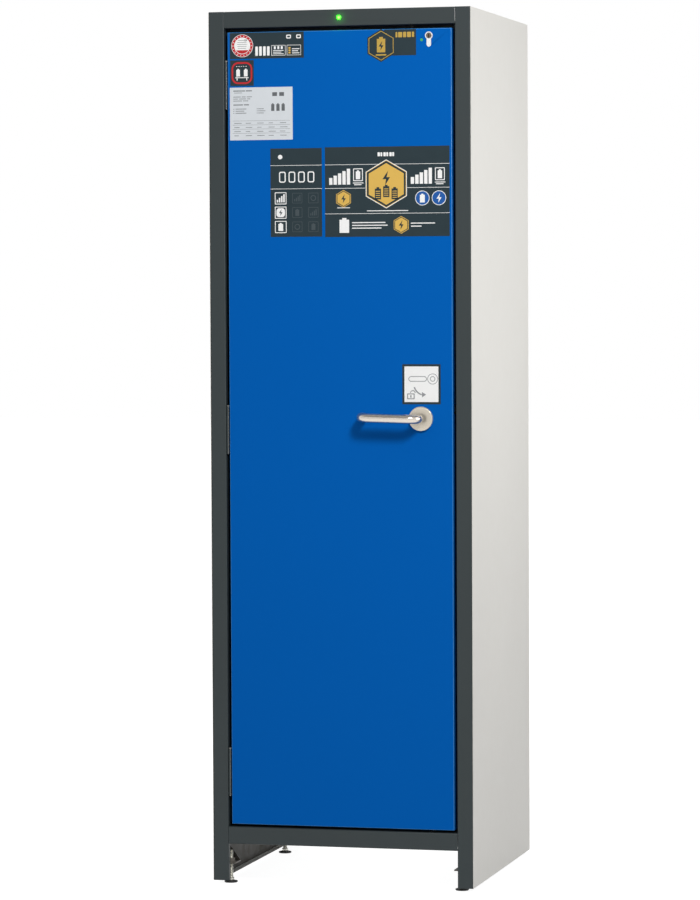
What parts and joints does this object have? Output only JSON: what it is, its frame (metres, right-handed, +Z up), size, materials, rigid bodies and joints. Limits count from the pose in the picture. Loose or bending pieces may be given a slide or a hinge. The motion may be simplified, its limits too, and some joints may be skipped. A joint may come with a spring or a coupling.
{
  "type": "battery cabinet",
  "caption": "Tall fire-insulated cabinet for batteries: one blue door with lever and three-way lock, dark frame, grey sides, perforated shelves, sump and pallet space.",
  "frame": {"origin": "on the floor, middle of the footprint with the lever counted in", "axes": "+X to the right facing the door, +Y from the door to the rear panel, +Z up"},
  "size_m": [0.599, 0.675, 1.953],
  "materials": {
    "light_grey_paint": "satin",
    "dark_frame_paint": "satin",
    "blue_door_paint": "satin",
    "bare_galvanised": "satin",
    "fire_board": "matte",
    "lining_sheet": "satin",
    "inner_door_paint": "satin",
    "graphite_strip": "matte",
    "seal_foam": "matte",
    "shelf_paint": "satin",
    "zinc_plate": "satin",
    "black_moulding": "matte",
    "grey_moulding": "matte",
    "white_moulding": "matte",
    "green_lens": "gloss",
    "clear_pipe": "gloss",
    "stainless_satin": "satin",
    "tool_steel": "satin",
    "blackened_steel": "satin",
    "cast_zinc": "satin",
    "nickel": "gloss",
    "plug_brass": "satin"
  },
  "bodies": {
    "cabinet": {"side_panel_right": "light_grey_paint", "side_panel_left": "light_grey_paint", "rear_panel": "light_grey_paint", "pillar_right": "dark_frame_paint", "pillar_left": "dark_frame_paint", "top_rail": "dark_frame_paint", "kick_rail": "dark_frame_paint", "roof_panel": "light_grey_paint", "floor_pan": "bare_galvanised", "insulation_right": "fire_board", "insulation_left": "fire_board", "insulation_rear": "fire_board", "insulation_ceiling": "fire_board", "insulation_floor": "fire_board", "inner_lining": "lining_sheet", "fire_strips": "graphite_strip", "keeper_plates": "bare_galvanised", "foot_brackets": "bare_galvanised", "shelf_uprights": "shelf_paint", "shelf_clips": "zinc_plate", "shelves": "shelf_paint", "sump_tray": "shelf_paint", "sump_insert": "shelf_paint", "air_duct": "shelf_paint", "exhaust_spigot": "zinc_plate", "fire_ring": "graphite_strip", "cable_gland": "black_moulding", "control_unit": "grey_moulding", "status_led": "green_lens", "smoke_sensor": "white_moulding", "hinge_frame_leaves": "dark_frame_paint", "hinge_pins": "tool_steel"},
    "door": {"hinge_door_leaves": "dark_frame_paint", "door_skin": "blue_door_paint", "door_core": "fire_board", "door_lining": "inner_door_paint", "door_seal": "seal_foam", "lock_case": "cast_zinc", "lock_cover": "bare_galvanised", "rod_guides": "grey_moulding", "handle_rose": "stainless_satin", "return_spring": "tool_steel", "lock_cylinder": "nickel", "status_window": "clear_pipe"},
    "handle": {"lever": "stainless_satin", "spindle": "tool_steel", "drive_pinion": "tool_steel"},
    "head_rod": {"head_rod": "blackened_steel"},
    "foot_rod": {"foot_rod": "blackened_steel"},
    "latch": {"latch_bolt": "blackened_steel"},
    "key": {"key_plug": "plug_brass", "status_flag": "green_lens"},
    "pad_front_left": {"foot_pad_front_left": "black_moulding"},
    "stud_front_left": {"foot_stud_front_left": "zinc_plate"},
    "pad_front_right": {"foot_pad_front_right": "black_moulding"},
    "stud_front_right": {"foot_stud_front_right": "zinc_plate"},
    "pad_rear_left": {"foot_pad_rear_left": "black_moulding"},
    "stud_rear_left": {"foot_stud_rear_left": "zinc_plate"},
    "pad_rear_right": {"foot_pad_rear_right": "black_moulding"},
    "stud_rear_right": {"foot_stud_rear_right": "zinc_plate"}
  },
  "joints": [
    {"name": "door_hinge", "type": "hinge", "parent": "cabinet", "child": "door", "pos_m": [-0.25975, -0.274, 1.0215], "axis": [0, 0, -1], "range_deg": [0, 110], "stiffness_Nm_per_rad": 3},
    {"name": "lever_turn", "type": "hinge", "parent": "door", "child": "handle", "pos_m": [0.1844, -0.2775, 1.048], "axis": [0, -1, 0], "range_deg": [0, 60], "stiffness_Nm_per_rad": 0.8, "springref_deg": -45.84},
    {"name": "head_rod_slide", "type": "slide", "parent": "door", "child": "head_rod", "axis": [0, 0, -1], "range_m": [0, 0.01471]},
    {"name": "foot_rod_slide", "type": "slide", "parent": "door", "child": "foot_rod", "axis": [0, 0, 1], "range_m": [0, 0.01471]},
    {"name": "latch_slide", "type": "slide", "parent": "door", "child": "latch", "axis": [-1, 0, 0], "range_m": [0, 0.01471]},
    {"name": "key_turn", "type": "hinge", "parent": "door", "child": "key", "pos_m": [0.2048, -0.2775, 1.891], "axis": [0, -1, 0], "range_deg": [0, 90]},
    {"name": "foot_out_front_left", "type": "slide", "parent": "cabinet", "child": "pad_front_left", "axis": [0, 0, -1], "range_m": [0, 0.03]},
    {"name": "foot_turn_front_left", "type": "hinge", "parent": "pad_front_left", "child": "stud_front_left", "pos_m": [-0.267, -0.2475, 0], "axis": [0, 0, -1], "range_deg": [0, 7201]},
    {"name": "foot_out_front_right", "type": "slide", "parent": "cabinet", "child": "pad_front_right", "axis": [0, 0, -1], "range_m": [0, 0.03]},
    {"name": "foot_turn_front_right", "type": "hinge", "parent": "pad_front_right", "child": "stud_front_right", "pos_m": [0.267, -0.2475, 0], "axis": [0, 0, -1], "range_deg": [0, 7201]},
    {"name": "foot_out_rear_left", "type": "slide", "parent": "cabinet", "child": "pad_rear_left", "axis": [0, 0, -1], "range_m": [0, 0.03]},
    {"name": "foot_turn_rear_left", "type": "hinge", "parent": "pad_rear_left", "child": "stud_rear_left", "pos_m": [-0.267, 0.2125, 0], "axis": [0, 0, -1], "range_deg": [0, 7201]},
    {"name": "foot_out_rear_right", "type": "slide", "parent": "cabinet", "child": "pad_rear_right", "axis": [0, 0, -1], "range_m": [0, 0.03]},
    {"name": "foot_turn_rear_right", "type": "hinge", "parent": "pad_rear_right", "child": "stud_rear_right", "pos_m": [0.267, 0.2125, 0], "axis": [0, 0, -1], "range_deg": [0, 7201]}
  ],
  "couplings": [
    {"joint": "head_rod_slide", "follows": "lever_turn", "m_per_rad": 0.014},
    {"joint": "foot_rod_slide", "follows": "lever_turn", "m_per_rad": 0.014},
    {"joint": "latch_slide", "follows": "lever_turn", "m_per_rad": 0.014},
    {"joint": "foot_turn_front_left", "follows": "foot_out_front_left", "rad_per_m": 4188.8},
    {"joint": "foot_turn_front_right", "follows": "foot_out_front_right", "rad_per_m": 4188.8},
    {"joint": "foot_turn_rear_left", "follows": "foot_out_rear_left", "rad_per_m": 4188.8},
    {"joint": "foot_turn_rear_right", "follows": "foot_out_rear_right", "rad_per_m": 4188.8}
  ]
}
